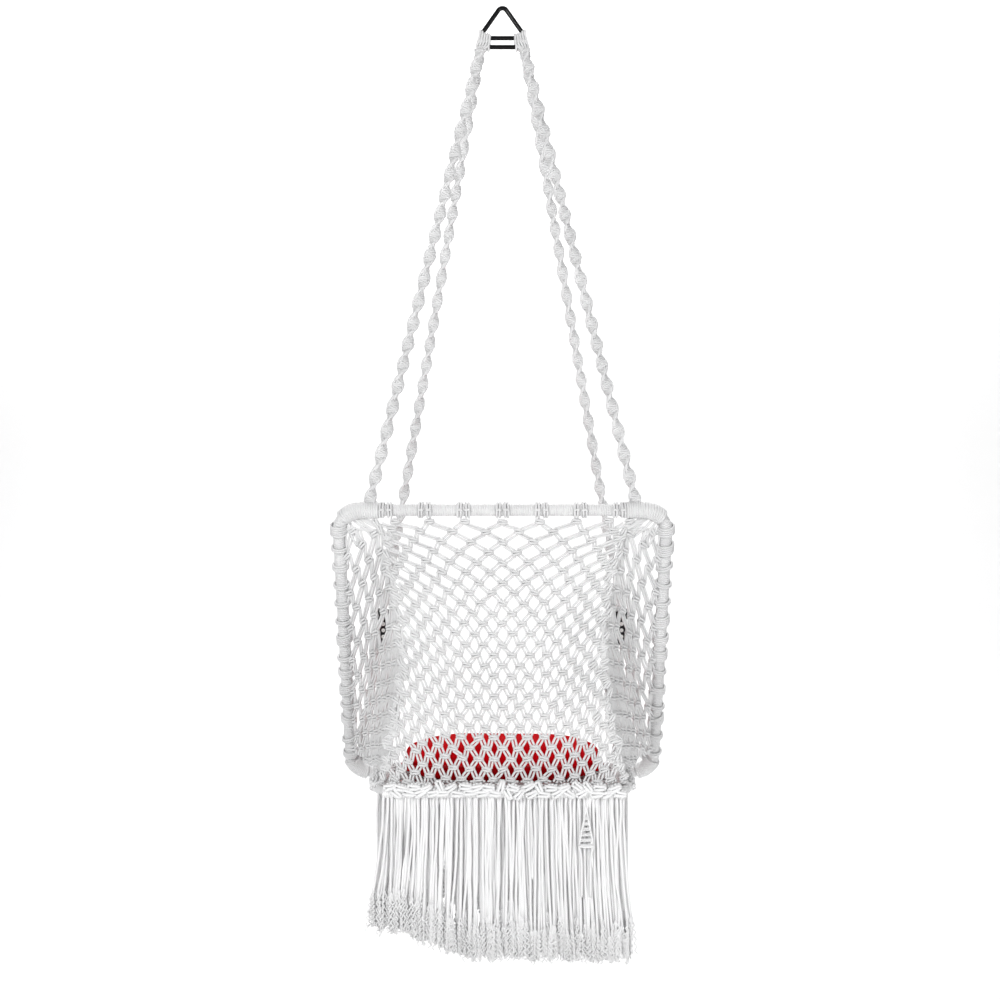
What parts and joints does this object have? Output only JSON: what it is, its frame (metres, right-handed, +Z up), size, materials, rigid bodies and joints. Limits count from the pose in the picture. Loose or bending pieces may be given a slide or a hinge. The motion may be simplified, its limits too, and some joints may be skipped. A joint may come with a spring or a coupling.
{
  "type": "toddler bucket swing",
  "caption": "Knotted-cord toddler seat on a tilted square frame, hung by four ropes from a wire triangle.",
  "frame": {"origin": "inside of the hanger triangle's apex, where a hook bears", "axes": "+Z up, +Y to the open front of the seat, -X to the child's left"},
  "size_m": [0.407, 0.2271, 1.1443],
  "materials": {
    "white_cord": "glossy white braided cord",
    "black_wire": "gloss black wire",
    "steel_tube": "plain steel tube",
    "red_fabric": "bright red woven fabric",
    "filling": "soft fibre filling",
    "black_webbing": "black woven webbing",
    "rivet": "dark rivet",
    "eyelet": "white eyelet"
  },
  "bodies": {
    "hanger": {"hanger_triangle": "black_wire"},
    "fringe_rear_curtain": {"fringe_rear": "white_cord", "fringe_motif": "white_cord"},
    "fringe_left_curtain": {"fringe_left": "white_cord"},
    "fringe_right_curtain": {"fringe_right": "white_cord"},
    "fringe_front_curtain": {"fringe_front": "white_cord"},
    "cushion": {"cushion_cover": "red_fabric", "cushion_filling": "filling"},
    "tab_left": {"belt_tab_left": "black_webbing", "belt_eyelets_left": "eyelet"},
    "tab_right": {"belt_tab_right": "black_webbing", "belt_eyelets_right": "eyelet"},
    "swing": {"spreader_bar": "black_wire", "top_loop_left": "white_cord", "top_loop_right": "white_cord", "rope_rear_left": "white_cord", "rope_rear_right": "white_cord", "rope_front_left": "white_cord", "rope_front_right": "white_cord", "lashing_rear_left": "white_cord", "lashing_rear_right": "white_cord", "lashing_front_left": "white_cord", "lashing_front_right": "white_cord", "frame_tube": "steel_tube", "frame_wrap_top": "white_cord", "frame_wrap_left": "white_cord", "frame_wrap_right": "white_cord", "frame_wrap_bottom": "white_cord", "seat_ring": "steel_tube", "seat_wrap_rear": "white_cord", "seat_wrap_left": "white_cord", "seat_wrap_right": "white_cord", "seat_wrap_front": "white_cord", "seat_lashing_left": "white_cord", "seat_lashing_right": "white_cord", "header_loops": "white_cord", "side_loops_left": "white_cord", "side_loops_right": "white_cord", "net_back": "white_cord", "net_left": "white_cord", "net_right": "white_cord", "net_seat": "white_cord", "belt_band_left": "black_webbing", "belt_band_right": "black_webbing", "belt_rivet_left": "rivet", "belt_rivet_right": "rivet"}
  },
  "joints": [
    {"name": "swing_hinge", "type": "hinge", "parent": "hanger", "child": "swing", "pos_m": [0, 0, -0.03381], "axis": [1, 0, 0], "range_deg": [-35, 35]},
    {"name": "cushion_lift", "type": "slide", "parent": "swing", "child": "cushion", "axis": [0, 0.64, 0.7684], "range_m": [0, 0.3]},
    {"name": "fringe_rear_sway", "type": "hinge", "parent": "swing", "child": "fringe_rear_curtain", "pos_m": [0, -0.0965, -0.9375], "axis": [-1, 0, 0], "range_deg": [0, 40]},
    {"name": "fringe_front_sway", "type": "hinge", "parent": "swing", "child": "fringe_front_curtain", "pos_m": [0, 0.0935, -0.9375], "axis": [1, 0, 0], "range_deg": [0, 20]},
    {"name": "fringe_left_sway", "type": "hinge", "parent": "swing", "child": "fringe_left_curtain", "pos_m": [-0.145, -0.0015, -0.9375], "axis": [0, 1, 0], "range_deg": [0, 40]},
    {"name": "fringe_right_sway", "type": "hinge", "parent": "swing", "child": "fringe_right_curtain", "pos_m": [0.145, -0.0015, -0.9375], "axis": [0, -1, 0], "range_deg": [0, 40]},
    {"name": "tab_left_swing", "type": "hinge", "parent": "swing", "child": "tab_left", "pos_m": [-0.15072, 0.08655, -0.744], "axis": [0, -1, 0], "range_deg": [-20, 90]},
    {"name": "tab_right_swing", "type": "hinge", "parent": "swing", "child": "tab_right", "pos_m": [0.15072, 0.08655, -0.744], "axis": [0, 1, 0], "range_deg": [-20, 90]}
  ]
}
